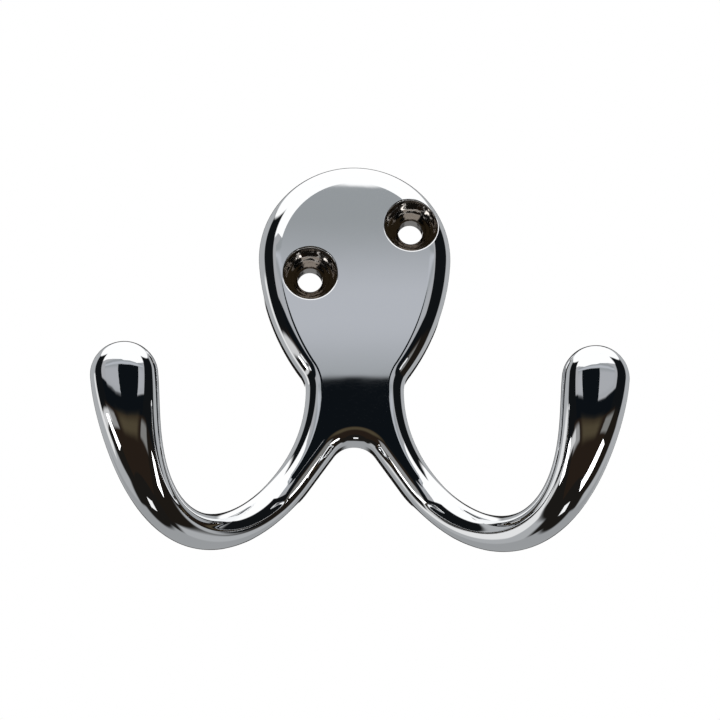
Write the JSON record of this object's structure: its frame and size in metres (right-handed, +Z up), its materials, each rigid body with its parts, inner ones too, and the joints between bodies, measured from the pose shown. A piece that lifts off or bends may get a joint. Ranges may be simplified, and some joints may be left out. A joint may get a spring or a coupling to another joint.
{
  "type": "double robe hook",
  "caption": "Polished chrome robe hook in one casting: a tear-drop wall plate with slanted countersunk screw holes and curved prongs that end in round tips.",
  "frame": {"origin": "centre of the plate's round head, on the back face that lies against the wall", "axes": "+X to the right seen from the front, +Y into the wall, +Z up; the hook's front faces -Y"},
  "size_m": [0.0698, 0.0324, 0.0576],
  "materials": {
    "chrome": "polished"
  },
  "bodies": {
    "root": {"double_robe_hook": "chrome"}
  },
  "joints": []
}
